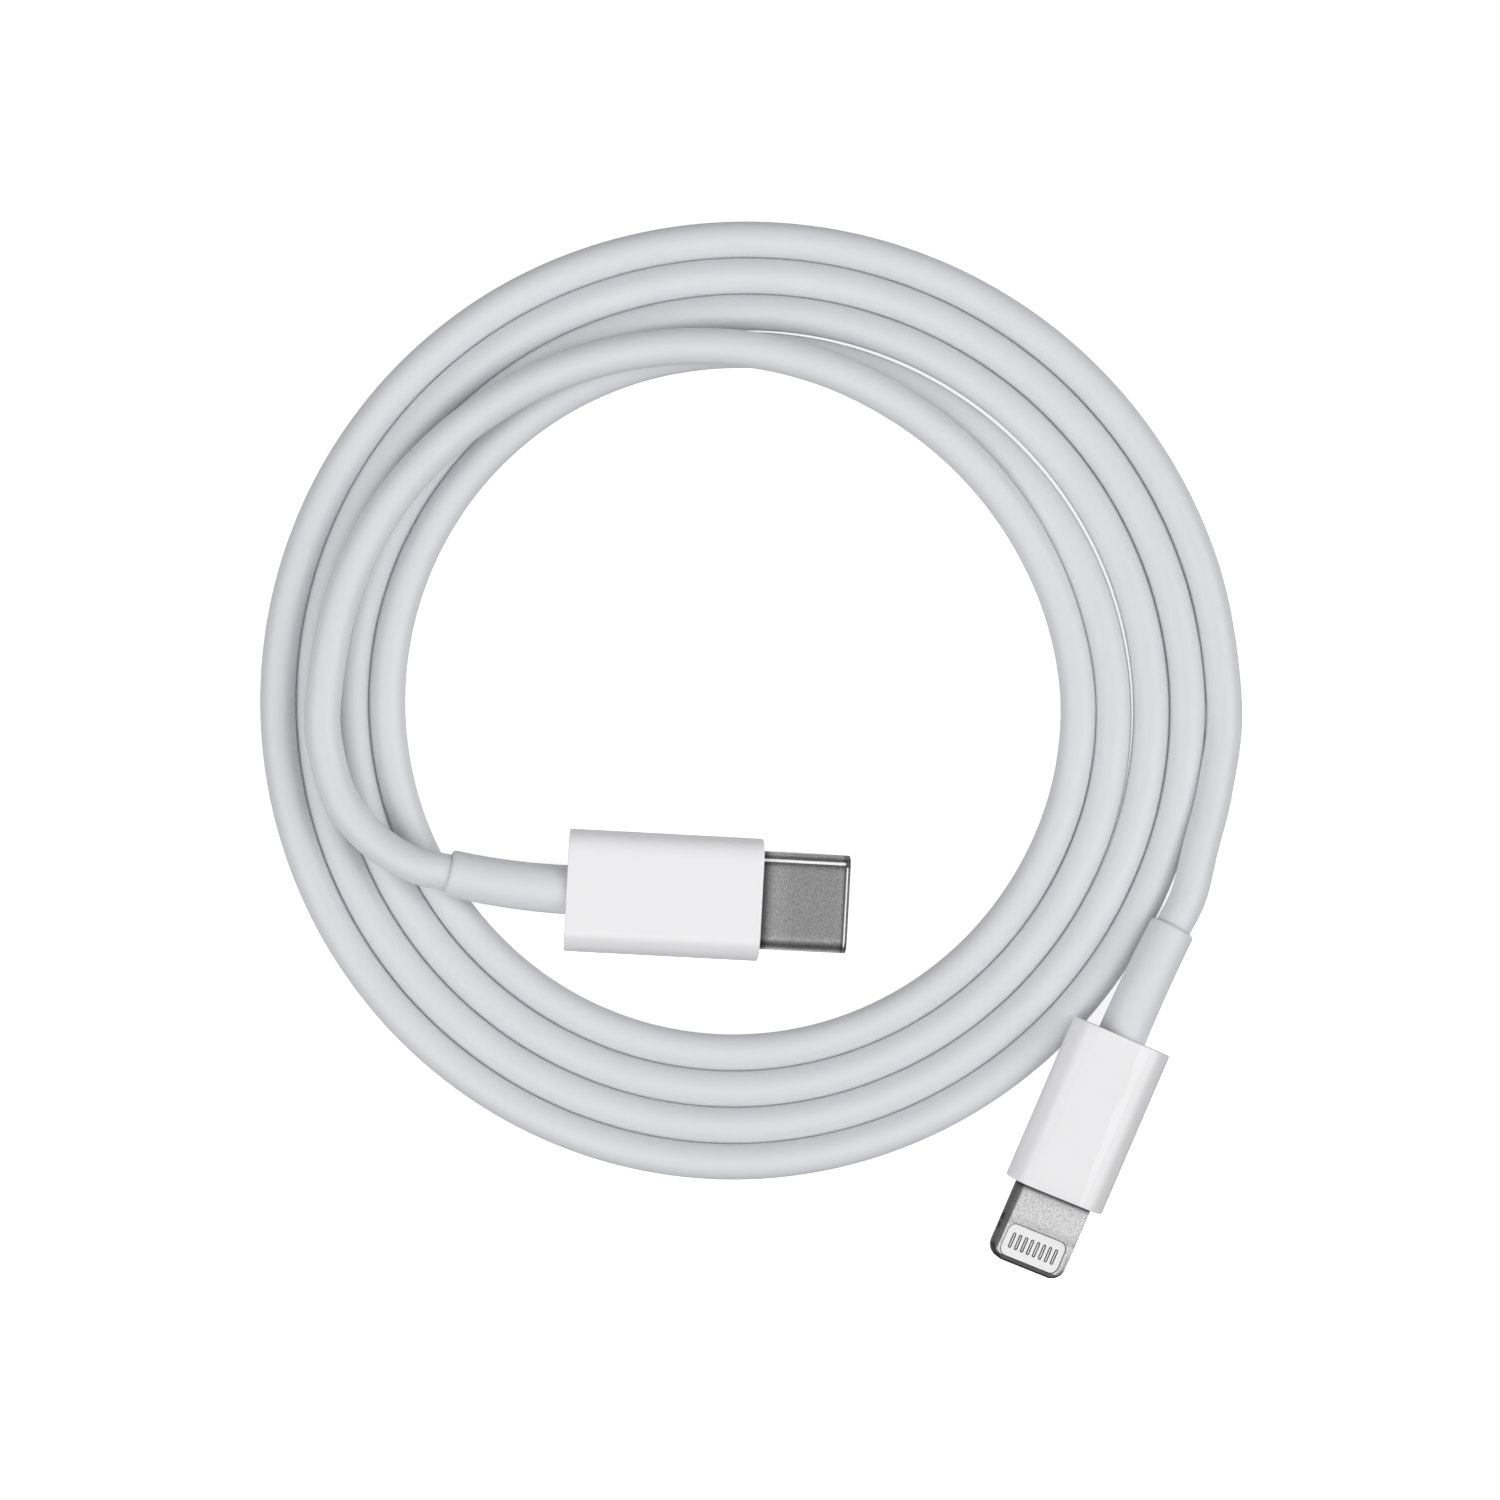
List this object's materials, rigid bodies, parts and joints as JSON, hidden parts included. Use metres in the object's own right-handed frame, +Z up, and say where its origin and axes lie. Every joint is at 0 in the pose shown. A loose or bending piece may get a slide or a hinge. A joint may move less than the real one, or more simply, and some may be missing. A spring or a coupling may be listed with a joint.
{
  "type": "charging cable",
  "caption": "Round white charging cord laid in a flat coil, with a USB-C plug on one end and a slim tab plug with flush contacts on the other, each on a flexible strain relief.",
  "frame": {"origin": "on the surface that the cable lies on, midway between the two plugs (centre of the box round both plugs and their strain reliefs)", "axes": "+Z up from the surface; +Y from the plugs towards the middle of the coil; +X towards the tip of the USB-C plug"},
  "size_m": [0.0824, 0.0888, 0.0069],
  "materials": {
    "jacket": "satin",
    "sleeve": "satin",
    "housing": "gloss",
    "shell_steel": "satin",
    "tab_metal": "satin",
    "contact": "satin",
    "insulator": "matte",
    "insert": "satin",
    "crimp": "satin",
    "board": "satin",
    "component": "satin",
    "screen": "satin",
    "wire_red": "satin",
    "wire_black": "satin",
    "wire_green": "satin",
    "wire_white": "satin"
  },
  "bodies": {
    "cable": {"cord_coil": "jacket", "cord_lead": "jacket", "cord_tail": "jacket", "usb_c_strain_relief": "sleeve", "usb_c_cord_end": "jacket", "eight_pin_strain_relief": "sleeve", "eight_pin_cord_end": "jacket"},
    "usb_c_plug": {"usb_c_board": "board", "usb_c_carrier": "insulator", "usb_c_contact_a1": "contact", "usb_c_contact_a12": "contact", "usb_c_contact_a4": "contact", "usb_c_contact_a5": "contact", "usb_c_contact_a6": "contact", "usb_c_contact_a7": "contact", "usb_c_contact_a9": "contact", "usb_c_contact_b1": "contact", "usb_c_contact_b12": "contact", "usb_c_contact_b4": "contact", "usb_c_contact_b9": "contact", "usb_c_cover": "housing", "usb_c_ferrule": "crimp", "usb_c_ground_spring_bottom": "screen", "usb_c_ground_spring_top": "screen", "usb_c_latch": "screen", "usb_c_resistor": "component", "usb_c_shell": "shell_steel", "usb_c_shield_can": "screen", "usb_c_wire_black": "wire_black", "usb_c_wire_green": "wire_green", "usb_c_wire_red": "wire_red", "usb_c_wire_white": "wire_white"},
    "eight_pin_plug": {"eight_pin_board": "board", "eight_pin_chip": "component", "eight_pin_contact_bottom_1": "contact", "eight_pin_contact_bottom_2": "contact", "eight_pin_contact_bottom_3": "contact", "eight_pin_contact_bottom_4": "contact", "eight_pin_contact_bottom_5": "contact", "eight_pin_contact_bottom_6": "contact", "eight_pin_contact_bottom_7": "contact", "eight_pin_contact_bottom_8": "contact", "eight_pin_contact_top_1": "contact", "eight_pin_contact_top_2": "contact", "eight_pin_contact_top_3": "contact", "eight_pin_contact_top_4": "contact", "eight_pin_contact_top_5": "contact", "eight_pin_contact_top_6": "contact", "eight_pin_contact_top_7": "contact", "eight_pin_contact_top_8": "contact", "eight_pin_cover": "housing", "eight_pin_ferrule": "crimp", "eight_pin_insert": "insert", "eight_pin_shield_can": "screen", "eight_pin_tab": "tab_metal", "eight_pin_wire_black": "wire_black", "eight_pin_wire_green": "wire_green", "eight_pin_wire_red": "wire_red", "eight_pin_wire_white": "wire_white"}
  },
  "joints": [
    {"name": "usb_c_strain_relief_bend", "type": "hinge", "parent": "cable", "child": "usb_c_plug", "pos_m": [-0.02613, 0.01409, 0.00427], "axis": [0, 0, 1], "range_deg": [-8, 20], "stiffness_Nm_per_rad": 0.01, "deforming": ["usb_c_strain_relief", "usb_c_cord_end"]},
    {"name": "eight_pin_strain_relief_bend", "type": "hinge", "parent": "cable", "child": "eight_pin_plug", "pos_m": [0.02746, 0.00616, 0.00402], "axis": [0, 0, 1], "range_deg": [0, 20], "stiffness_Nm_per_rad": 0.01, "deforming": ["eight_pin_strain_relief", "eight_pin_cord_end"]}
  ]
}
